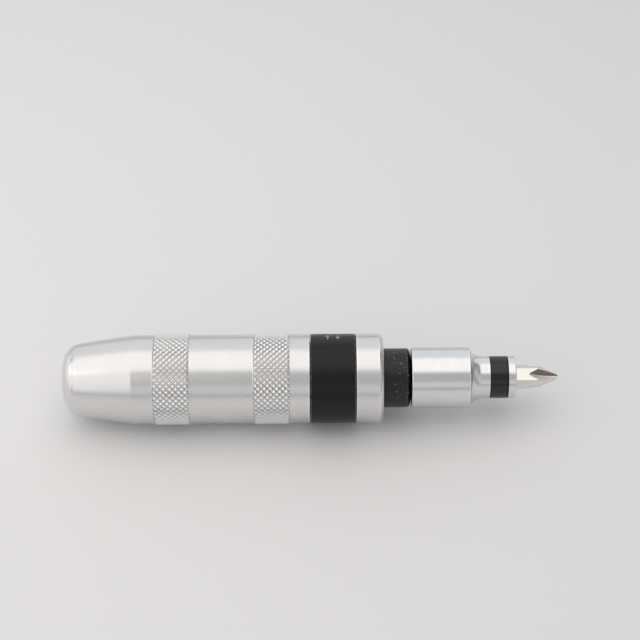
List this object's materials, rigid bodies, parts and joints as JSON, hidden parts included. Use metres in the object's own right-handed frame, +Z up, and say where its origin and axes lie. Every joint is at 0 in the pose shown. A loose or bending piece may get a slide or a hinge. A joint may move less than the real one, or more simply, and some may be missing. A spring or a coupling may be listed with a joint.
{
  "type": "hand impact driver",
  "caption": "Hand impact driver: a hammer blow on the steel barrel drives a cross pin down a sloped slot and turns the spindle, bit holder and cross-point bit.",
  "frame": {"origin": "centre of the flat striking face, on the tool's axis", "axes": "+X along the tool's axis towards the bit; +Z up as the tool lies on its side"},
  "size_m": [0.1855, 0.0342, 0.0342],
  "materials": {
    "barrel_steel": "satin, fine bead-blasted, with coarse diamond knurls",
    "ring_black": "satin black oxide",
    "spindle_black": "rough black phosphate with small worn specks",
    "holder_chrome": "satin chrome with fine turning lines",
    "band_black": "satin black",
    "bit_nickel": "bright nickel, ground flats",
    "hardened_steel": "ground and hardened",
    "spring_steel": "oiled spring wire",
    "bush_bronze": "sintered bronze",
    "seal_rubber": "matt black rubber"
  },
  "bodies": {
    "barrel": {"striking_barrel": "barrel_steel", "front_collar": "barrel_steel", "front_bush": "bush_bronze", "dust_seal": "seal_rubber", "ring_seal_rear": "seal_rubber", "ring_seal_front": "seal_rubber", "detent_balls": "hardened_steel", "detent_springs": "spring_steel", "rear_washer": "hardened_steel", "return_spring": "spring_steel"},
    "direction_ring": {"direction_ring": "ring_black", "drive_pin": "hardened_steel"},
    "spring_seat": {"spring_seat": "hardened_steel"},
    "spindle": {"spindle": "spindle_black", "square_detent_ball": "hardened_steel", "square_detent_spring": "spring_steel"},
    "bit_holder": {"bit_holder": "holder_chrome", "holder_band": "band_black", "bit_retaining_ball": "hardened_steel"},
    "bit": {"phillips_bit": "bit_nickel"}
  },
  "joints": [
    {"name": "ring_turn", "type": "hinge", "parent": "barrel", "child": "direction_ring", "pos_m": [0.10085, 0, 0], "axis": [1, 0, 0], "range_deg": [0, 40]},
    {"name": "spindle_stroke", "type": "slide", "parent": "direction_ring", "child": "spring_seat", "axis": [-1, 0, 0], "range_m": [0, 0.008], "stiffness_N_per_m": 8000, "springref_m": -0.003, "deforming": ["return_spring"]},
    {"name": "spindle_turn", "type": "hinge", "parent": "spring_seat", "child": "spindle", "pos_m": [0.10085, 0, 0], "axis": [-1, 0, 0], "range_deg": [0, 20]},
    {"name": "holder_pull", "type": "slide", "parent": "spindle", "child": "bit_holder", "axis": [1, 0, 0], "range_m": [0, 0.018]},
    {"name": "bit_pull", "type": "slide", "parent": "bit_holder", "child": "bit", "axis": [1, 0, 0], "range_m": [0, 0.024]}
  ],
  "couplings": [
    {"joint": "spindle_turn", "follows": "spindle_stroke", "rad_per_m": 43.63}
  ]
}
